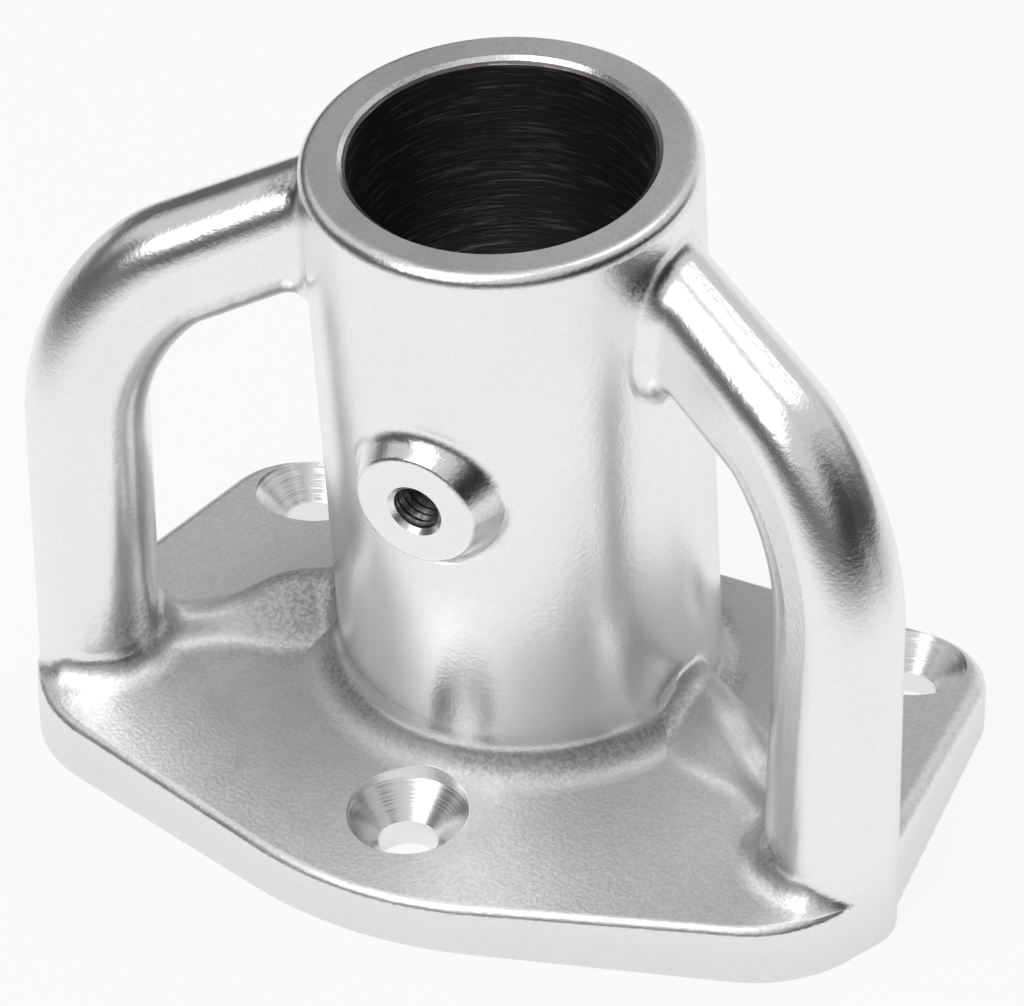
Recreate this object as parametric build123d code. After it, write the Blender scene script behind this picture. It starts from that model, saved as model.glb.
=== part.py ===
from build123d import *
import math
import os

# Tube clamp base flange: one investment casting. A raked socket stands on a
# three-hole foot, with a closed bail on each side.
# Frame: origin where the socket axis meets the underside, +Z up, +X to the right
# bail, -Y to the front (set-screw side). X = 0 is the plane of symmetry.

# Socket
BORE_DIA = 25.6
WALL = 3.95
SOCKET_HEIGHT = 61.7            # along the axis, from the underside to the rim
RAKE = 6.0                      # degrees, the socket leans towards the front
RIM_ROUND = 1.2                 # outer edge of the rim
MOUTH_CHAMFER = 0.6             # bore edge of the rim

# Set-screw boss on the front of the socket
SCREW_DIA = 4.2                 # tapping hole for an M5 screw
SCREW_MOUTH = 0.4               # chamfer at the mouth of the tapped hole
BOSS_HEIGHT = 37.8              # along the socket axis
BOSS_FACE_DIA = 10.6
BOSS_PROUD = 2.0                # face above the socket wall
BOSS_DRAFT = 26.0               # degrees, flare of the boss side
BOSS_ROUND = 0.5                # edge of the boss face
BOSS_ROOT = 1.5                 # blend into the socket wall

# Foot plate
EDGE_THICK = 4.6                # at the front and back edges
FRONT_SLOPE = RAKE              # degrees, top falls to the front, square to the socket
BACK_SLOPE = 5.0                # degrees, top falls to the back
FRONT_REACH = 34.9              # radius of the front nose about the origin
NOSE_ANGLE = 17.0               # degrees, slope of each front flank
HALF_WIDTH = 40.15              # of the plate at its widest level
WIDEST_LEVEL = 14.6             # how far in front of the axis that level lies
SIDE_TAPER = 6.0                # degrees, the sides close in towards the back
BACK_REACH = 20.1
FRONT_CORNER = 12.4
BACK_CORNER = 8.0
FRONT_EDGE_ROUND = 0.9
BACK_EDGE_ROUND = 1.5

# Countersunk fixing holes
HOLE_DIA = 5.2
SINK_DIA = 10.5
SINK_ANGLE = 90.0
FRONT_HOLE_INSET = 10.2         # hole centre behind the nose
BACK_HOLE_INSET = 6.2           # hole centres in front of the back edge
SIDE_HOLE_INSET = 10.45         # hole centres inside the widest level

# Bails: closed bars from high on the socket down to the sides of the foot
BAIL_TURN = 23.8                # degrees in front of square to the plane of symmetry
BAIL_THICK = 10.6               # in the plane of the bail
ROOT_DROP = 9.9                 # centre line at the socket wall, below the rim
SHOULDER_SLOPE = 22.9           # degrees below level, leaving the socket
KNEE_SLOPE = 41.5               # degrees below level, between the two bends
SHOULDER_RADIUS = 8.4
BEND_RADIUS = 18.8
LEG_PROUD = 0.25                # outer face of the leg beyond the side of the foot
LEG_WIDTH = 11.4                # across the bail at the foot
ROOT_WIDTH = 7.6                # across the bail at the socket
BAR_FLAT = 0.8                  # left flat between the rounded long edges

# Web under each bail: a low crest from the leg to the side of the socket
WEB_TURN = 11.3                 # degrees, the crest turns back from the bail's plane
WEB_CROSS = 1.0                 # where it crosses that plane, inside the leg's face
WEB_RISE = 1.8                  # crest above the foot, beside the leg
WEB_CLIMB = 2.7                 # from there up to the crest beside the socket
WEB_SLOPE = 26.0                # degrees, climb of the crest towards the socket
WEB_LEVEL = 4.7                 # level run of the crest before it climbs
WEB_BEND = 9.0                  # radius of the bends along the crest
WEB_FLANK = 45.0                # degrees, slope of the front flank
WEB_THICK = 3.2                 # crest before its edges are rounded
WEB_ROUND = 2.0

# Blends between the parts of the casting
WEB_BLEND = 3.0                 # web into the foot
LEG_BLEND = 3.0                 # leg into the foot and web
BAIL_BLEND = 2.0                # bail into the socket
SOCKET_BLEND = 2.0              # socket into the foot and webs
APRON_RADIUS = 3.6              # larger hollow in front of the socket

SOCKET_RADIUS = BORE_DIA / 2 + WALL
MID_WALL = BORE_DIA / 2 + WALL / 2
ROOT_HEIGHT = SOCKET_HEIGHT - ROOT_DROP
FRONT_HOLE_REACH = FRONT_REACH - FRONT_HOLE_INSET
BACK_HOLE_REACH = BACK_REACH - BACK_HOLE_INSET
BACK_HOLE_HALF_SPAN = HALF_WIDTH - SIDE_HOLE_INSET
FAR = 4 * (HALF_WIDTH + SOCKET_HEIGHT)      # clear of everything
HAIR = 0.01
SINK_HAIR = HAIR / 100                     # sink ends this far below the top's lower lip


def sin(angle):
    return math.sin(math.radians(angle))


def cos(angle):
    return math.cos(math.radians(angle))


def tan(angle):
    return math.tan(math.radians(angle))


SOCKET_PLANE = Plane(origin=(0, 0, 0), x_dir=(1, 0, 0), z_dir=(0, -sin(RAKE), cos(RAKE)))
# In the bail plane local x runs outwards along the foot and local y runs up.
BAIL_PLANE = Plane(
    origin=(0, 0, 0),
    x_dir=(cos(BAIL_TURN), -sin(BAIL_TURN), 0),
    z_dir=(-sin(BAIL_TURN), -cos(BAIL_TURN), 0),
)
# On the boss face, looking along the screw towards the socket axis.
BOSS_PLANE = Plane(
    origin=SOCKET_PLANE.from_local_coords((0, -SOCKET_RADIUS - BOSS_PROUD, BOSS_HEIGHT)),
    x_dir=(1, 0, 0),
    z_dir=SOCKET_PLANE.y_dir,
)


def mirrored(solid):
    return mirror(solid, about=Plane.YZ)


def above_ground(solid):
    return split(solid, bisect_by=Plane.XY, keep=Keep.TOP)


def outline():
    """Plan of the foot: nose arc, straight flanks, tapered sides, rounded corners."""
    nose_y = -FRONT_REACH / cos(NOSE_ANGLE)
    corner_x = HALF_WIDTH - (nose_y + WIDEST_LEVEL) * tan(SIDE_TAPER)
    corner_x = corner_x / (1 + tan(NOSE_ANGLE) * tan(SIDE_TAPER))
    corner_y = nose_y + corner_x * tan(NOSE_ANGLE)
    back_x = HALF_WIDTH - (BACK_REACH + WIDEST_LEVEL) * tan(SIDE_TAPER)
    face = make_face(
        Polyline(
            (0, nose_y),
            (corner_x, corner_y),
            (back_x, BACK_REACH),
            (-back_x, BACK_REACH),
            (-corner_x, corner_y),
            close=True,
        )
    )
    vertices = face.vertices().sort_by(Axis.Y)
    face = fillet(vertices[-2:], BACK_CORNER)
    vertices = face.vertices().sort_by(Axis.Y)
    face = fillet(vertices[1:3], FRONT_CORNER)
    return fillet(face.vertices().sort_by(Axis.Y)[0], FRONT_REACH)


# Along the bail's plane the foot reaches this far from the origin.
BAIL_RAY = Line((0, 0), (FAR * cos(BAIL_TURN), -FAR * sin(BAIL_TURN)))
SIDE_REACH = (outline() & BAIL_RAY).edge().length
LEG_REACH = SIDE_REACH + LEG_PROUD - BAIL_THICK / 2
CROSS_REACH = LEG_REACH - BAIL_THICK / 2 - WEB_CROSS
# Along the front edge of the web's crest, local x runs outwards and local y up.
WEB_PLANE = Plane(
    origin=BAIL_PLANE.from_local_coords((CROSS_REACH, 0, 0)),
    x_dir=(cos(BAIL_TURN + WEB_TURN), -sin(BAIL_TURN + WEB_TURN), 0),
    z_dir=(-sin(BAIL_TURN + WEB_TURN), -cos(BAIL_TURN + WEB_TURN), 0),
)
WEB_START = -CROSS_REACH * cos(WEB_TURN)    # nearest the socket's axis, inside the bore


def sector(facing):
    """Space in front (-1) or behind (+1) of the webs and, outside them, the bails."""
    start = WEB_PLANE.from_local_coords((WEB_START, 0, 0))
    cross = WEB_PLANE.origin
    end = BAIL_PLANE.from_local_coords((FAR, 0, 0))
    plan = Polyline(
        (-start.X, start.Y),
        (start.X, start.Y),
        (cross.X, cross.Y),
        (end.X, end.Y),
        (end.X, facing * FAR),
        (-end.X, facing * FAR),
        (-end.X, end.Y),
        (-cross.X, cross.Y),
        close=True,
    )
    return extrude(make_face(plan), amount=FAR)


def top_height(reach, slope, out):
    """Height of the foot's top at a distance out from the axis, towards its edge at reach."""
    return EDGE_THICK + (reach - out) * tan(slope)


def under_slope(facing, reach, slope):
    """Space below a top that falls towards the front (-1) or back (+1) edge."""
    beyond = reach + EDGE_THICK
    behind = -FAR
    profile = Polyline(
        (facing * behind, 0),
        (facing * beyond, 0),
        (facing * beyond, top_height(reach, slope, beyond)),
        (facing * behind, top_height(reach, slope, behind)),
        close=True,
    )
    return extrude(make_face(Plane.YZ * profile), amount=FAR, both=True)


def foot_part(facing, reach, slope, edge_round):
    """The foot in front of or behind the webs and bails, its rim rounded over."""
    solid = extrude(outline(), amount=FAR) & under_slope(facing, reach, slope)
    top = solid.faces().sort_by(Axis.Z)[-1]
    return fillet(top.edges(), edge_round) & sector(facing)


def socket_blank():
    """The raked tube, still solid, from the ground to its rounded rim."""
    below = SOCKET_RADIUS * tan(RAKE) + EDGE_THICK
    tube = Cylinder(
        SOCKET_RADIUS,
        SOCKET_HEIGHT + below,
        align=(Align.CENTER, Align.CENTER, Align.MIN),
    )
    tube = fillet(tube.edges().sort_by(Axis.Z)[-1], RIM_ROUND)
    tube = SOCKET_PLANE * Pos(0, 0, -below) * tube
    return above_ground(tube)


def apron():
    """Hollow blend of larger radius between the front of the socket and the foot."""
    top = top_height(FRONT_REACH, FRONT_SLOPE, 0) * cos(RAKE)
    toe = (SOCKET_RADIUS + APRON_RADIUS, top)
    crown = (SOCKET_RADIUS, top + APRON_RADIUS)
    lines = [
        Line((MID_WALL, top - EDGE_THICK / 2), (MID_WALL, crown[1])),
        Line((MID_WALL, crown[1]), crown),
        RadiusArc(crown, toe, -APRON_RADIUS),
        Line(toe, (toe[0], top - EDGE_THICK / 2)),
        Line((toe[0], top - EDGE_THICK / 2), (MID_WALL, top - EDGE_THICK / 2)),
    ]
    section = make_face([Plane.XZ * line for line in lines])
    return SOCKET_PLANE * revolve(section, Axis.Z) & sector(-1)


def bar_path():
    """Centre line of the bail: two straight runs and two bends, from inside the
    socket wall down into the foot."""
    bends = SHOULDER_RADIUS * (sin(KNEE_SLOPE) - sin(SHOULDER_SLOPE))
    bends += BEND_RADIUS * (1 - sin(KNEE_SLOPE))
    run = LEG_REACH - SOCKET_RADIUS - bends
    start = (MID_WALL, ROOT_HEIGHT + (SOCKET_RADIUS - MID_WALL) * tan(SHOULDER_SLOPE))
    shoulder = (SOCKET_RADIUS + run, ROOT_HEIGHT - run * tan(SHOULDER_SLOPE))
    knee = (
        shoulder[0] + SHOULDER_RADIUS * (sin(KNEE_SLOPE) - sin(SHOULDER_SLOPE)),
        shoulder[1] - SHOULDER_RADIUS * (cos(SHOULDER_SLOPE) - cos(KNEE_SLOPE)),
    )
    leg = (LEG_REACH, knee[1] - BEND_RADIUS * cos(KNEE_SLOPE))
    lines = [
        Line(start, shoulder),
        RadiusArc(shoulder, knee, SHOULDER_RADIUS),
        RadiusArc(knee, leg, BEND_RADIUS),
        Line(leg, (LEG_REACH, 0)),
    ]
    return Wire([BAIL_PLANE * line for line in lines])


def bar_section(path, along, width):
    """Oval section of the bar square to its path, its thickness in the bail's plane."""
    square = Plane(origin=path @ along, x_dir=BAIL_PLANE.z_dir, z_dir=path % along)
    edge_round = (min(width, BAIL_THICK) - BAR_FLAT) / 2
    return square * RectangleRounded(width, BAIL_THICK, edge_round)


def bail():
    """Bent oval bar that widens steadily from the socket to the foot."""
    path = bar_path()
    root = bar_section(path, 0, ROOT_WIDTH)
    leg = bar_section(path, 1, LEG_WIDTH)
    return sweep([root, leg], path=path, multisection=True)


def runs_out(edge):
    """True for an edge outside the socket that leads along its web, not across it."""
    side = math.copysign(1, (edge @ 0.5).X)
    ends = [Vector(side * point.X, point.Y, point.Z) for point in (edge @ 0, edge @ 1)]
    beyond = max(math.hypot(end.X, end.Y) for end in ends) > SOCKET_RADIUS
    inner, outer = [WEB_PLANE.to_local_coords(end).X for end in ends]
    return beyond and abs(outer - inner) > HAIR


def web():
    """Crest that climbs from the leg to the socket, with a front flank that slopes
    down into the foot and an upright back."""
    low = top_height(FRONT_REACH, FRONT_SLOPE, -WEB_PLANE.origin.Y) + WEB_RISE
    high = low + WEB_CLIMB
    end = WEB_CROSS + BAIL_THICK / 3
    crest = FilletPolyline(
        (WEB_START, high),
        (-WEB_LEVEL - WEB_CLIMB / tan(WEB_SLOPE), high),
        (-WEB_LEVEL, low),
        (end, low),
        radius=WEB_BEND,
    )
    under = Polyline((end, low), (end, -high), (WEB_START, -high), (WEB_START, high))
    face = make_face(WEB_PLANE * Wire([*crest.edges(), *under.edges()]))
    downhill = WEB_PLANE.z_dir * cos(WEB_FLANK) - WEB_PLANE.y_dir * sin(WEB_FLANK)
    flank = extrude(face, amount=high / sin(WEB_FLANK), dir=downhill)
    back = extrude(face, amount=WEB_THICK, dir=-WEB_PLANE.z_dir)
    solid = above_ground(flank + back)
    crest = solid.edges().filter_by(lambda edge: (edge @ 0.5).Z > low - HAIR)
    return fillet(crest.filter_by(runs_out), WEB_ROUND)


def boss():
    """Flared boss for the set screw, reaching back into the socket wall."""
    depth = BOSS_PROUD + WALL
    cone = Cone(
        BOSS_FACE_DIA / 2,
        BOSS_FACE_DIA / 2 + depth * tan(BOSS_DRAFT),
        depth,
        align=(Align.CENTER, Align.CENTER, Align.MIN),
    )
    return BOSS_PLANE * fillet(cone.edges().sort_by(Axis.Z)[0], BOSS_ROUND)


def bore():
    """Tube bore along the raked axis, chamfered at the rim."""
    below = SOCKET_RADIUS * tan(RAKE) + EDGE_THICK
    hole = Pos(0, 0, -below) * Cylinder(
        BORE_DIA / 2,
        SOCKET_HEIGHT + 2 * below,
        align=(Align.CENTER, Align.CENTER, Align.MIN),
    )
    mouth = Pos(0, 0, SOCKET_HEIGHT - MOUTH_CHAMFER) * Cone(
        BORE_DIA / 2,
        BORE_DIA / 2 + 2 * MOUTH_CHAMFER,
        2 * MOUTH_CHAMFER,
        align=(Align.CENTER, Align.CENTER, Align.MIN),
    )
    return SOCKET_PLANE * (hole + mouth)


def screw_hole():
    """Set-screw hole from the boss face through into the bore."""
    hole = Cylinder(
        SCREW_DIA / 2,
        BOSS_PROUD + SOCKET_RADIUS,
        align=(Align.CENTER, Align.CENTER, Align.MIN),
    )
    mouth = Pos(0, 0, -SCREW_MOUTH) * Cone(
        SCREW_DIA / 2 + 2 * SCREW_MOUTH,
        SCREW_DIA / 2,
        2 * SCREW_MOUTH,
        align=(Align.CENTER, Align.CENTER, Align.MIN),
    )
    return BOSS_PLANE * (hole + mouth)


def fixing_hole(x, y, reach, slope):
    """Countersunk hole; the sink ends a hair below the lower lip of the sloping
    top and leaves a short upright wall on the higher side."""
    mouth = top_height(reach, slope, abs(y) + SINK_DIA / 2) - SINK_HAIR
    depth = (SINK_DIA - HOLE_DIA) / 2 / tan(SINK_ANGLE / 2)
    centred = (Align.CENTER, Align.CENTER, Align.MIN)
    hole = Pos(0, 0, -EDGE_THICK) * Cylinder(HOLE_DIA / 2, mouth + EDGE_THICK, align=centred)
    sink = Pos(0, 0, mouth - depth) * Cone(HOLE_DIA / 2, SINK_DIA / 2, depth, align=centred)
    clearance = Pos(0, 0, mouth) * Cylinder(SINK_DIA / 2, SINK_DIA / 2, align=centred)
    return Pos(x, y, 0) * (hole + sink + clearance)


def blend_seam(whole, body, added, radius, low, high):
    """Round the seam left by fusing the added parts to body, between two heights."""
    seam = new_edges(body, *added, combined=whole)
    seam = seam.filter_by(lambda edge: min((edge @ 0).Z, (edge @ 1).Z) > low)
    seam = seam.filter_by(lambda edge: (edge @ 0.5).Z < high)
    return fillet(seam, radius)


def casting():
    """Foot, webs, bails, socket and boss, each fused on and blended in turn."""
    clear_of_ground = EDGE_THICK / 2
    waist = SOCKET_HEIGHT / 2
    foot = foot_part(-1, FRONT_REACH, FRONT_SLOPE, FRONT_EDGE_ROUND)
    foot += foot_part(1, BACK_REACH, BACK_SLOPE, BACK_EDGE_ROUND)

    webs = [web(), mirrored(web())]
    webbed = foot + webs
    seam = new_edges(foot, *webs, combined=webbed).filter_by(runs_out)
    webbed = fillet(seam.filter_by(lambda edge: (edge @ 0.5).Z > clear_of_ground), WEB_BLEND)

    bails = [bail(), mirrored(bail())]
    legged = blend_seam(webbed + bails, webbed, bails, LEG_BLEND, clear_of_ground, FAR)

    socket = [socket_blank()]
    body = blend_seam(legged + socket, legged, socket, BAIL_BLEND, waist, FAR)
    body = blend_seam(body, legged, socket, SOCKET_BLEND, clear_of_ground, waist)

    bosses = [boss()]
    body = blend_seam(body + bosses, body, bosses, BOSS_ROOT, waist, FAR)
    return body + apron()


def flange():
    """The casting with its bore, set-screw hole and fixing holes machined."""
    body = casting() - bore() - screw_hole()
    body -= fixing_hole(0, -FRONT_HOLE_REACH, FRONT_REACH, FRONT_SLOPE)
    for side in (-1, 1):
        x = side * BACK_HOLE_HALF_SPAN
        body -= fixing_hole(x, BACK_HOLE_REACH, BACK_REACH, BACK_SLOPE)
    return body


os.makedirs("parts", exist_ok=True)
export_step(flange(), "parts/flange_casting.step")
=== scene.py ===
import math

import bpy
import numpy as np
from mathutils import Matrix, Vector


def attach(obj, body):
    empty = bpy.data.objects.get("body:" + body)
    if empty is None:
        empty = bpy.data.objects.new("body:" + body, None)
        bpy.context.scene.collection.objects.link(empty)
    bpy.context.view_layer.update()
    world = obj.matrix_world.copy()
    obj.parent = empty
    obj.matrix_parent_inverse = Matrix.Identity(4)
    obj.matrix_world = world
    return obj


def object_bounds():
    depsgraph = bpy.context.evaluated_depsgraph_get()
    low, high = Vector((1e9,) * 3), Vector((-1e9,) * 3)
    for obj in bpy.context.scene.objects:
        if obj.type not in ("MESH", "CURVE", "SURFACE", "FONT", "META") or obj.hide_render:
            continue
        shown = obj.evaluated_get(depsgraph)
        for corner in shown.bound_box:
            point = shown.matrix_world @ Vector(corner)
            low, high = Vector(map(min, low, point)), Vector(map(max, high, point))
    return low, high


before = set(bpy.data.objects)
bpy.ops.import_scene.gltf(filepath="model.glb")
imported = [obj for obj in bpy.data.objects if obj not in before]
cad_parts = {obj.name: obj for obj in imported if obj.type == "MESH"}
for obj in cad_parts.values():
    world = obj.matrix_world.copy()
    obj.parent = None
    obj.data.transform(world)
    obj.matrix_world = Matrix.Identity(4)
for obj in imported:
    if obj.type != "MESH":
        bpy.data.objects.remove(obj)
start_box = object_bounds()
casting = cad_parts["flange_casting"]

# Sizes and places on the part, in metres in its own frame: x to the right, y to the
# back, z up from the underside. The socket leans forwards, and its heights and those
# of the set screw run along its own axis.
ASIDE, BACK, UP = (1, 0, 0), (0, 1, 0), (0, 0, 1)
RAKE = math.radians(6.0)
SOCKET_AXIS = Vector((0, -math.sin(RAKE), math.cos(RAKE)))
SOCKET_BACK = Vector((0, math.cos(RAKE), math.sin(RAKE)))
SOCKET_HEIGHT = 0.0617
BORE_RADIUS = 0.0128
SCREW_HEIGHT = 0.0378
SCREW_RADIUS = 0.0021           # tapped hole, before its thread
SCREW_FACE = 0.01875            # boss's flat face, out from the socket's axis
FIXING_HOLES = ((0.0, -0.0247), (-0.0297, 0.0139), (0.0297, 0.0139))
SINK_RADIUS = 0.00525           # countersink at its mouth

# Thread of the set-screw hole; its depths run inwards from the boss's face.
THREAD_PITCH = 0.0008
THREAD_RIDGE = 0.00026
THREAD_ROOT_GAP = 0.00003       # from the hole's wall to the thread's roots
THREAD_START, THREAD_END = 0.0004, 0.0054
THREAD_STEPS = 96               # round the hole, and again along it

# Zones of the casting with a finish or a painted shade of their own. A pair is where
# a soft edge starts and where it ends; a tilt is the upright part of a face's outward
# direction.
BORE_MARGIN = 0.00025           # the bore's finish reaches this far past its wall
SINK_MARGIN = 0.00003           # and the countersink's this far past its mouth
FOOT_CEILING = 0.0120           # the foot and the webs lie below this height
BAIL_FLOOR = 0.0150             # and only bails and socket lie above this one
SATIN_TILTS = (0.25, 0.60)
WEB_HEIGHTS = (0.0064, 0.0078)
WEB_TILTS = (0.78, 0.97)        # crests lie flatter than this and stay satin
RIM_HEIGHTS = (SOCKET_HEIGHT - 0.0008, SOCKET_HEIGHT - 0.0002)
RIM_TILTS = (0.90, 0.97)
# painted shade low on the foot's sides: full below the first height, gone above the second
SKIRT_SHADE_HEIGHTS = (0.0010, 0.0100)
COLLAR_INSIDE = (0.0168, 0.0174)
COLLAR_OUTSIDE = (0.0175, 0.0198)

# Corners and a crest darkened with painted shade, speckled like grit: place, reach of
# full shade, reach of any, strength.
PAINTED_SHADE_SPOTS = (
    ((-0.0190, -0.0075, 0.0100), 0.0006, 0.0080, 0.50),   # left web's crest
    ((-0.0292, -0.0172, 0.0105), 0.0004, 0.0062, 0.55),   # left leg's foot
    ((0.0318, -0.0195, 0.0085), 0.0002, 0.0030, 0.60),    # right leg's foot
    ((0.0160, -0.0126, 0.0562), 0.0003, 0.0026, 0.80),    # right bail's root
    ((-0.0180, -0.0106, 0.0550), 0.0002, 0.0026, 0.70),   # left bail's root
)
COLLAR_SHADE = (0.08, 0.48)      # painted shade round the socket's foot, in its patches
SHADE_GROUND = 0.35              # share of the painted shade left between its speckles

# Noise patterns: features per metre, detail, and strength of the finer detail.
GRAIN = (2600, 3.0, 0.65)
ORANGE_PEEL = (520, 2.0, 0.5)
WAVES = (90, 2.0, 0.5)
SINK_RINGS = (2600, 2.0, 0.6)
BORE_RINGS = (2400, 3.0, 0.7)
# patches of the thread's painted shade
THREAD_SHADE_PATCHES = (1500, 2.0, 0.6)
RING_DRAW = 0.07                # the bore's pattern across its axis, against along it

# Stretches of a noise's values that a finish is spread over.
WIDE_BAND = (0.30, 0.70)
MIDDLE_BAND = (0.35, 0.65)
SPECKLE_BAND = (0.38, 0.62)
RING_BAND = (0.50, 0.74)

# Relief: depth, strength, and how much of each pattern goes into it.
RELIEF_DEPTH, RELIEF_STRENGTH = 0.00007, 0.4
SATIN_GRAIN_SHARE, PEEL_SHARE = 1.6, 0.4
SINK_RING_SHARE, BORE_RING_SHARE = 1.2, 3.0

# Roughness, from 0, a mirror, to 1, matt. A pair is spread over a pattern or a reach.
POLISHED_ROUGH = (0.20, 0.26)
FROSTED_ROUGH = (0.48, 0.36)    # beside the socket, and out at FROSTED_REACH's end
FROSTED_REACH = (0.018, 0.036)
FROSTED_WANDER = (-0.04, 0.04)
WEB_ROUGH = 0.58
RIM_ROUGH = (0.30, 0.42)
SINK_ROUGH = 0.24
BORE_ROUGH = 0.45
THREAD_ROUGH = (0.45, 0.30)     # in the darker patches, and the lighter ones

# Colours of the metal, and the painted shades on it.
POLISHED = (0.925, 0.930, 0.925, 1)
SKIRT_SHADE = (0.820, 0.830, 0.825, 1)        # painted shade low on the foot's sides
FROST_SHADED_INNER = (0.700, 0.695, 0.700, 1)  # foot's top beside the socket, darkened with painted shade
FROST_OUTER = (0.950, 0.955, 0.945, 1)  # and out where that painted shade ends, at the reach below
FROST_SHADE_REACH = (0.018, 0.034)
# painted shade on the webs' flanks, dimming their reflection
WEB_FLANK_SHADE = (0.620, 0.615, 0.620, 1)
RIM_TONE = (0.800, 0.805, 0.800, 1)
SPECKLE_TONE = (0.450, 0.440, 0.440, 1)
SPECKLE_SHARES = (0.05, 0.20)           # on smooth metal, and on satin
# painted shade in the corners and round the socket's foot
PAINTED_SHADE_TONE = (0.100, 0.090, 0.100, 1)
SINK_TONE = (0.900, 0.900, 0.895, 1)
# turned rings inside the bore, both painted dark as the deep hole's shade
BORE_SHADE_GROOVE = (0.170, 0.158, 0.155, 1)
BORE_SHADE_RIDGE = (0.600, 0.590, 0.570, 1)
# thread painted dark in patches as the shade inside the set-screw hole: darker, then
# lighter
THREAD_DARK_SHADE = (0.160, 0.150, 0.150, 1)
THREAD_LIGHT_SHADE = (0.420, 0.410, 0.400, 1)

# Floor. Seen straight or in a mirror, it is partly white glow over its paint.
FLOOR_HALF = 4.0                # half its side
FLOOR_DROP = 0.00005            # below the part's underside
FLOOR_PAINT = (0.9, 0.9, 0.9, 1)
FLOOR_ROUGH, FLOOR_GLOSS = 0.9, 0.1
GLOW_SHARE, MIRROR_GLOW_SHARE = 0.88, 0.55
MIRROR_GLOW = 1.15
MIRROR_REACH = (0.09, 0.32)     # in a mirror the glow falls off over this reach
MIRROR_FAR = 0.10               # to this share
MIRROR_BACK = (0.0, 0.2)        # and comes up again behind the part

# Softboxes facing the part: name, turn, rise, width and height, radiance.
LIT_MIDDLE = Vector((0, -0.005, 0.03))
LAMP_DISTANCE = 0.9
SOFTBOXES = (
    ("key softbox", -161, 56, (0.46, 0.86), 1.9),
    ("high back softbox", 35, 68, (0.25, 0.35), 1.5),
)

# Light tent round the part: level by rise in degrees, then soft patches of it, each
# with turn, rise, inner and outer angle, level.
TENT_RISES, TENT_LEVELS = (14, 32), (0.12, 0.62)
TENT_PATCHES = (
    (-30, 46, 8, 28, 0.30),
    (-55, 12, 4, 26, 0.10),
    (-126, 26, 6, 24, 0.10),
    (100, 8, 20, 46, 0.02),
    (12, 0, 12, 32, 0.85),
    (-26, 24, 4, 14, 0.62),
)
TENT_SHADE = (0.94, 0.85, 0.98, 1)      # tint of the tent where it is dark
SHADE_LEVEL = 0.45                      # level from which it has none
WHITE = (1, 1, 1, 1)

# Camera: place, angles in degrees, lens in millimetres.
CAMERA_PLACE = (0.1797, -0.3639, 0.3114)
CAMERA_TURN, CAMERA_RISE, CAMERA_ROLL = 26.57, 35.49, -0.29
CAMERA_LENS = 202.4


class Graph:
    """Short names for building a node tree. A value is a socket or a constant."""

    def __init__(self, tree):
        self.tree = tree

    def node(self, kind, **settings):
        made = self.tree.nodes.new(kind)
        for name, value in settings.items():
            setattr(made, name, value)
        return made

    def link(self, source, target):
        self.tree.links.new(source, target)

    def put(self, value, socket):
        """Link the value to the socket if it is one, or else write it there."""
        if isinstance(value, bpy.types.NodeSocket):
            self.link(value, socket)
        else:
            socket.default_value = value

    def math(self, operation, a, b=None):
        made = self.node("ShaderNodeMath", operation=operation)
        self.put(a, made.inputs[0])
        if b is not None:
            self.put(b, made.inputs[1])
        return made.outputs[0]

    def times(self, a, b):
        return self.math("MULTIPLY", a, b)

    def vector_math(self, operation, vector, constant):
        made = self.node("ShaderNodeVectorMath", operation=operation)
        self.link(vector, made.inputs[0])
        made.inputs[1].default_value = constant
        return made

    def dot(self, vector, direction):
        return self.vector_math("DOT_PRODUCT", vector, direction).outputs["Value"]

    def distance(self, place, spot):
        return self.vector_math("DISTANCE", place, spot).outputs["Value"]

    def combine(self, *axes):
        """Vector from its numbers, 0 for those not given."""
        made = self.node("ShaderNodeCombineXYZ")
        for value, socket in zip(axes, made.inputs):
            self.put(value, socket)
        return made.outputs[0]

    def noise(self, vector, scale, detail, rough):
        made = self.node("ShaderNodeTexNoise")
        self.link(vector, made.inputs["Vector"])
        made.inputs["Scale"].default_value = scale
        made.inputs["Detail"].default_value = detail
        made.inputs["Roughness"].default_value = rough
        return made.outputs["Fac"]

    def remap(self, value, low, high, to_low=0.0, to_high=1.0):
        """Smooth step: to_low where the value is low or less, to_high from high on."""
        made = self.node("ShaderNodeMapRange", clamp=True)
        made.interpolation_type = "SMOOTHSTEP"
        self.put(value, made.inputs["Value"])
        ends = {"From Min": low, "From Max": high, "To Min": to_low, "To Max": to_high}
        for name, end in ends.items():
            made.inputs[name].default_value = end
        return made.outputs["Result"]

    def fade(self, value, low, high):
        """1 where the value is low or less, falling to 0 at high."""
        return self.remap(value, low, high, 1.0, 0.0)

    def mix(self, share, a, b):
        """a where the share is 0, b where it is 1: sockets 2 and 3 take the numbers."""
        made = self.node("ShaderNodeMix", data_type="FLOAT")
        self.put(share, made.inputs[0])
        self.put(a, made.inputs[2])
        self.put(b, made.inputs[3])
        return made.outputs[0]

    def mix_colour(self, share, a, b):
        """The same for two colours, which sockets 6 and 7 take."""
        made = self.node("ShaderNodeMix", data_type="RGBA")
        self.put(share, made.inputs[0])
        self.put(a, made.inputs[6])
        self.put(b, made.inputs[7])
        return made.outputs[2]


def new_material(name):
    """New material, with its graph and its shader."""
    material = bpy.data.materials.new(name)
    material.use_nodes = True
    tree = material.node_tree
    return material, Graph(tree), tree.nodes["Principled BSDF"]


def new_object(name, data):
    """New object in the scene."""
    made = bpy.data.objects.new(name, data)
    bpy.context.scene.collection.objects.link(made)
    return made


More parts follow.
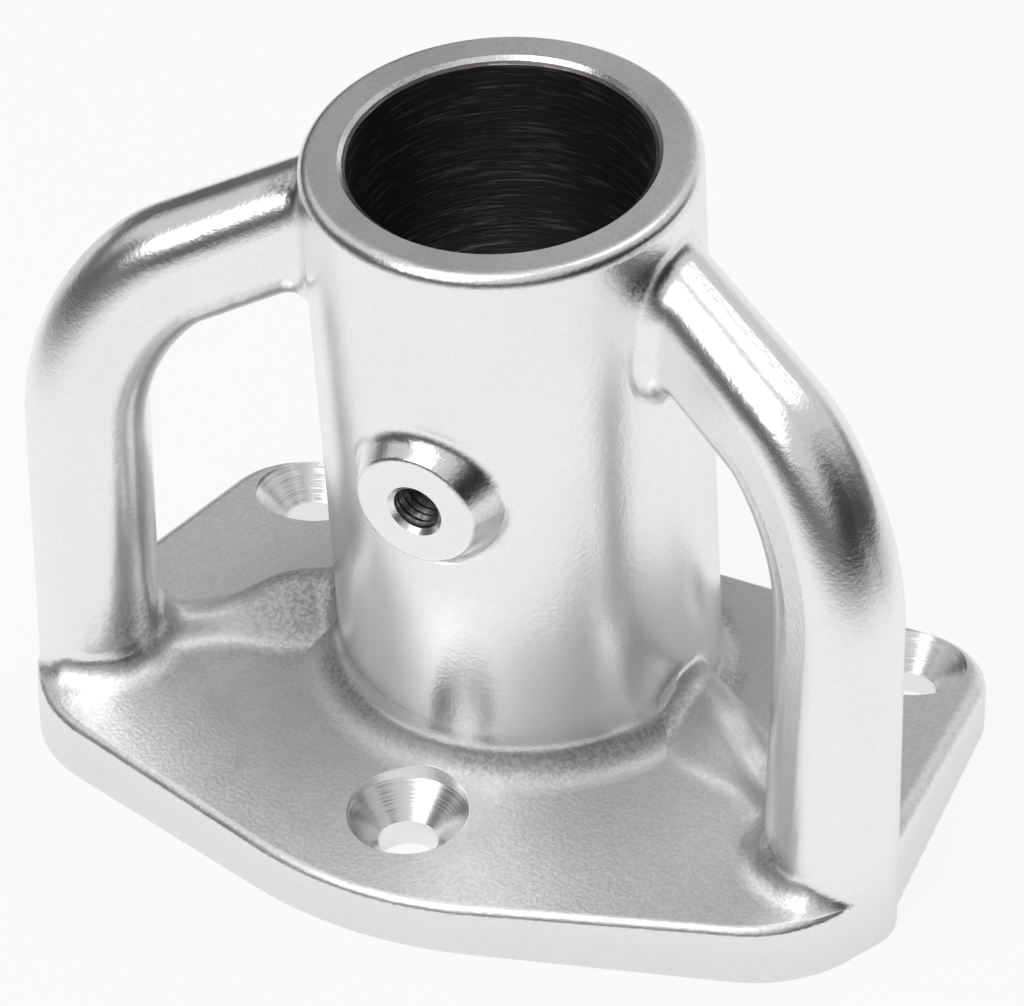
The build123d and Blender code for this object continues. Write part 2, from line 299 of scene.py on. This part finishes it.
def hole_reach(g, place):
    """How far a point is from the axis of the nearest fixing hole."""
    plan = g.vector_math("MULTIPLY", place, (1, 1, 0)).outputs["Vector"]
    nearest, *others = [g.distance(plan, (x, y, 0)) for x, y in FIXING_HOLES]
    for other in others:
        nearest = g.math("MINIMUM", nearest, other)
    return nearest


def painted_shade_share(g, place, radius, low, waves, speckle):
    """Painted shade, speckled like grit: a patchy collar round the socket's foot, and the
    corners.
    """
    collar = g.times(g.remap(radius, *COLLAR_INSIDE), g.fade(radius, *COLLAR_OUTSIDE))
    painted_shade = g.times(g.times(collar, low), g.remap(waves, *MIDDLE_BAND, *COLLAR_SHADE))
    for spot, inner, outer, strength in PAINTED_SHADE_SPOTS:
        corner = g.times(g.fade(g.distance(place, spot), inner, outer), strength)
        painted_shade = g.math("MAXIMUM", painted_shade, corner)
    return g.times(painted_shade, g.mix(speckle, SHADE_GROUND, 1.0))


def steel_material():
    """Tumbled, then electropolished casting.

    The bails and the socket are smooth, with painted shade low on the foot's sides.
    The foot's upward faces keep a satin cast grain, with painted shade beside the
    socket; the webs' flanks are rougher and darkened with painted shade, and painted
    shade, speckled like grit, lies in the corners and round the socket's foot. The
    countersinks are turned bright, and the bore is left as turned, with broken rings,
    painted dark as the deep hole's shade.
    """
    material, g, shader = new_material("electropolished casting")
    place = g.node("ShaderNodeTexCoord").outputs["Object"]
    outward = g.node("ShaderNodeNewGeometry").outputs["Normal"]

    # Where a point lies, and how far its face looks up.
    along = g.dot(place, SOCKET_AXIS)
    back = g.dot(place, SOCKET_BACK)
    aside = g.dot(place, ASIDE)
    radius = g.math("SQRT", g.math("ADD", g.times(back, back), g.times(aside, aside)))
    height = g.dot(place, UP)
    tilt = g.dot(outward, UP)
    reach = hole_reach(g, place)

    # Zones: 1 inside, 0 outside.
    in_bore = g.math("LESS_THAN", radius, BORE_RADIUS + BORE_MARGIN)
    low = g.fade(height, FOOT_CEILING, BAIL_FLOOR)
    satin = g.times(low, g.remap(tilt, *SATIN_TILTS))
    rim = g.times(g.remap(along, *RIM_HEIGHTS), g.remap(tilt, *RIM_TILTS))
    flank = g.times(g.remap(height, *WEB_HEIGHTS), g.fade(tilt, *WEB_TILTS))
    web = g.times(satin, flank)
    sunk = g.times(
        g.math("LESS_THAN", reach, SINK_RADIUS + SINK_MARGIN),
        g.math("LESS_THAN", height, FOOT_CEILING),
    )

    # Patterns. A turned ring varies quickly along and out from its own axis only.
    grain = g.noise(place, *GRAIN)
    orange_peel = g.noise(place, *ORANGE_PEEL)
    waves = g.noise(place, *WAVES)
    speckle = g.remap(grain, *SPECKLE_BAND)
    sink_rings = g.noise(g.combine(reach, height), *SINK_RINGS)
    drawn = g.combine(g.times(aside, RING_DRAW), g.times(back, RING_DRAW), along)
    bore_rings = g.noise(drawn, *BORE_RINGS)
    painted_shade = painted_shade_share(g, place, radius, low, waves, speckle)

    # Relief.
    fine = g.mix(satin, grain, g.times(grain, SATIN_GRAIN_SHARE))
    coarse = g.math("ADD", g.times(orange_peel, PEEL_SHARE), waves)
    cast = g.math("ADD", fine, coarse)
    cast = g.mix(sunk, cast, g.times(sink_rings, SINK_RING_SHARE))
    bump = g.node("ShaderNodeBump")
    bump.inputs["Strength"].default_value = RELIEF_STRENGTH
    bump.inputs["Distance"].default_value = RELIEF_DEPTH
    turned = g.times(bore_rings, BORE_RING_SHARE)
    g.link(g.mix(in_bore, cast, turned), bump.inputs["Height"])
    g.link(bump.outputs["Normal"], shader.inputs["Normal"])

    # Roughness.
    polished = g.remap(waves, *WIDE_BAND, *POLISHED_ROUGH)
    frosted = g.math(
        "ADD",
        g.remap(radius, *FROSTED_REACH, *FROSTED_ROUGH),
        g.remap(orange_peel, *WIDE_BAND, *FROSTED_WANDER),
    )
    frosted = g.mix(web, frosted, WEB_ROUGH)
    faced = g.remap(waves, *WIDE_BAND, *RIM_ROUGH)
    rough = g.mix(rim, g.mix(satin, polished, frosted), faced)
    rough = g.mix(in_bore, g.mix(sunk, rough, SINK_ROUGH), BORE_ROUGH)
    g.link(rough, shader.inputs["Roughness"])

    # Colour.
    # Satin finish, darkened with painted shade beside the socket and lighter outwards.
    frost_and_shade = g.mix_colour(g.remap(radius, *FROST_SHADE_REACH), FROST_SHADED_INNER, FROST_OUTER)
    # Painted shade on the webs' flanks dims the reflection there.
    frost_and_shade = g.mix_colour(web, frost_and_shade, WEB_FLANK_SHADE)
    # Painted shade low on the foot's sides, over the polished metal.
    smooth = g.mix_colour(g.fade(height, *SKIRT_SHADE_HEIGHTS), POLISHED, SKIRT_SHADE)
    tone = g.mix_colour(satin, smooth, frost_and_shade)
    tone = g.mix_colour(rim, tone, RIM_TONE)
    speckled = g.remap(g.math("MAXIMUM", satin, rim), 0, 1, *SPECKLE_SHARES)
    tone = g.mix_colour(g.times(speckle, speckled), tone, SPECKLE_TONE)
    # Painted shade, speckled like grit, in the corners and round the socket's foot.
    tone = g.mix_colour(painted_shade, tone, PAINTED_SHADE_TONE)
    tone = g.mix_colour(sunk, tone, SINK_TONE)
    # Turned rings in the bore, painted dark as the deep hole's shade.
    bore_shade_tone = g.mix_colour(g.remap(bore_rings, *RING_BAND), BORE_SHADE_GROOVE, BORE_SHADE_RIDGE)
    g.link(g.mix_colour(in_bore, tone, bore_shade_tone), shader.inputs["Base Color"])
    shader.inputs["Metallic"].default_value = 1.0
    return material


def thread_material():
    """Cut thread, duller than the casting, painted dark in patches as the shade inside the
    hole.
    """
    material, g, shader = new_material("cut thread")
    place = g.node("ShaderNodeTexCoord").outputs["Object"]
    # Painted shade in patches inside the hole.
    less_shaded = g.remap(g.noise(place, *THREAD_SHADE_PATCHES), *MIDDLE_BAND)
    g.link(g.mix_colour(less_shaded, THREAD_DARK_SHADE, THREAD_LIGHT_SHADE), shader.inputs["Base Color"])
    g.link(g.remap(less_shaded, 0, 1, *THREAD_ROUGH), shader.inputs["Roughness"])
    shader.inputs["Metallic"].default_value = 1.0
    return material


def closed_grid(name, points):
    """Mesh over a grid of points (rows, columns, 3) that closes on itself both ways.

    Each face joins a point to the next in its row, to the next in that one's column
    and to the next in its own column; after the last comes the first.
    """
    rows, columns = points.shape[:2]
    here = np.arange(rows * columns).reshape(rows, columns)
    beside = np.roll(here, -1, 1)
    faces = np.stack((here, beside, np.roll(beside, -1, 0), np.roll(here, -1, 0)), -1)
    mesh = bpy.data.meshes.new(name)
    mesh.from_pydata(points.reshape(-1, 3).tolist(), [], faces.reshape(-1, 4).tolist())
    return mesh


def thread_mesh():
    """Threaded sleeve lining the set-screw hole.

    At angle a, from the right over the top, a root lies a * pitch / (2 * pi) along
    the hole, which makes the helix left-handed, and a crest half a pitch further.
    Across one pitch the inner wall's radius is a triangle wave: root just inside the
    hole's wall, crest one ridge height further in, and the ridge fades in over the
    first pitch. Two more rows at the hole's own radius close the sleeve behind.
    """
    angle = np.linspace(0, 2 * math.pi, THREAD_STEPS, endpoint=False)
    along = np.linspace(THREAD_START, THREAD_END, THREAD_STEPS)
    a, s = np.meshgrid(angle, along)
    wave = 1 - np.abs(2 * ((s / THREAD_PITCH - a / (2 * math.pi)) % 1.0) - 1)
    grown = np.clip((s - THREAD_START) / THREAD_PITCH, 0, 1)
    inner = SCREW_RADIUS - THREAD_ROOT_GAP - THREAD_RIDGE * wave * grown
    depth = np.concatenate((along, (THREAD_END, THREAD_START)))
    radius = np.concatenate((inner, np.full((2, THREAD_STEPS), SCREW_RADIUS)))
    mouth = np.array(SOCKET_AXIS * SCREW_HEIGHT - SOCKET_BACK * SCREW_FACE)
    sideways = np.cos(angle)[:, None] * np.array(ASIDE)
    upwards = np.sin(angle)[:, None] * np.array(SOCKET_AXIS)
    inwards = depth[:, None, None] * np.array(SOCKET_BACK)
    points = mouth + inwards + radius[..., None] * (sideways + upwards)
    return closed_grid("set_screw_thread", points)


def floor():
    """Plain white floor that keeps the part's shadow.

    Camera and mirror rays see it nearly white; in a mirror it is brightest near the
    part and behind it, and falls off towards the front and the sides.
    """
    corners = ((-1, -1), (1, -1), (1, 1), (-1, 1))
    mesh = bpy.data.meshes.new("floor")
    points = [(x * FLOOR_HALF, y * FLOOR_HALF, 0) for x, y in corners]
    mesh.from_pydata(points, [], [(0, 1, 2, 3)])
    made = new_object("floor", mesh)
    made.location.z = start_box[0].z - FLOOR_DROP

    material, g, paint = new_material("white floor")
    paint.inputs["Base Color"].default_value = FLOOR_PAINT
    paint.inputs["Roughness"].default_value = FLOOR_ROUGH
    paint.inputs["Specular IOR Level"].default_value = FLOOR_GLOSS
    rays = g.node("ShaderNodeLightPath")
    mirror = rays.outputs["Is Glossy Ray"]
    seen = g.math("MAXIMUM", rays.outputs["Is Camera Ray"], mirror)
    place = g.node("ShaderNodeTexCoord").outputs["Object"]
    near = g.remap(g.distance(place, (0, 0, 0)), *MIRROR_REACH, 1.0, MIRROR_FAR)
    lit = g.math("MAXIMUM", near, g.remap(g.dot(place, BACK), *MIRROR_BACK))
    glow = g.node("ShaderNodeEmission")
    g.link(g.mix(mirror, 1.0, g.times(lit, MIRROR_GLOW)), glow.inputs["Strength"])
    share = g.times(seen, g.mix(mirror, GLOW_SHARE, MIRROR_GLOW_SHARE))
    both = g.node("ShaderNodeMixShader")
    for source, socket in zip((share, paint.outputs[0], glow.outputs[0]), both.inputs):
        g.link(source, socket)
    surface = material.node_tree.nodes["Material Output"].inputs["Surface"]
    g.link(both.outputs[0], surface)
    mesh.materials.append(material)


def toward(turn, rise):
    """Unit direction: turn in degrees from straight back, rightwards, and rise above
    the horizon.
    """
    turn, rise = math.radians(turn), math.radians(rise)
    level = math.cos(rise)
    return Vector((math.sin(turn) * level, math.cos(turn) * level, math.sin(rise)))


def softbox(name, turn, rise, size, radiance):
    """Rectangular lamp facing the part, as bright as a wall of that radiance."""
    data = bpy.data.lights.new(name, "AREA")
    data.shape = "RECTANGLE"
    data.size, data.size_y = size
    data.energy = radiance * math.pi * size[0] * size[1]
    made = new_object(name, data)
    away = toward(turn, rise)
    made.location = LIT_MIDDLE + away * LAMP_DISTANCE
    made.rotation_mode = "QUATERNION"
    made.rotation_quaternion = (-away).to_track_quat("-Z", "Y")


def tent():
    """Grey light tent, with dark slots at the sides, a bright low back, and plain
    white where the camera looks past the part.

    Each patch is a soft disc of sky: its weight goes from 0 to 1 as the angle to its
    middle shrinks from the outer to the inner one.
    """
    made = bpy.data.worlds.new("light tent")
    bpy.context.scene.world = made
    made.use_nodes = True
    g = Graph(made.node_tree)
    background = made.node_tree.nodes["Background"]
    look = g.node("ShaderNodeTexCoord").outputs["Generated"]
    start, end = (math.sin(math.radians(rise)) for rise in TENT_RISES)
    level = g.remap(g.dot(look, UP), start, end, *TENT_LEVELS)
    for turn, rise, inner, outer, value in TENT_PATCHES:
        edges = (math.cos(math.radians(angle)) for angle in (outer, inner))
        weight = g.remap(g.dot(look, toward(turn, rise)), *edges)
        level = g.mix(weight, level, value)
    shown = g.mix(g.node("ShaderNodeLightPath").outputs["Is Camera Ray"], level, 1.0)
    tint = g.mix_colour(g.remap(shown, 0.0, SHADE_LEVEL), TENT_SHADE, WHITE)
    g.link(tint, background.inputs["Color"])
    g.link(shown, background.inputs["Strength"])


def camera():
    """Long lens from the front right, about 35 degrees above the horizon."""
    turn = math.radians(CAMERA_TURN)
    forward = toward(-CAMERA_TURN, -CAMERA_RISE)
    right = Vector((math.cos(turn), math.sin(turn), 0))
    basis = Matrix((right, right.cross(forward), -forward)).transposed()
    basis = basis @ Matrix.Rotation(math.radians(CAMERA_ROLL), 3, "Z")
    data = bpy.data.cameras.new("camera")
    data.lens = CAMERA_LENS
    made = new_object("camera", data)
    made.matrix_world = Matrix.Translation(CAMERA_PLACE) @ basis.to_4x4()
    bpy.context.scene.camera = made


casting.data.materials.clear()
casting.data.materials.append(steel_material())

thread = new_object("set_screw_thread", thread_mesh())
thread.data.materials.append(thread_material())
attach(thread, "root")

floor()
for lamp in SOFTBOXES:
    softbox(*lamp)
tent()
camera()
bpy.context.scene.view_settings.view_transform = "Standard"
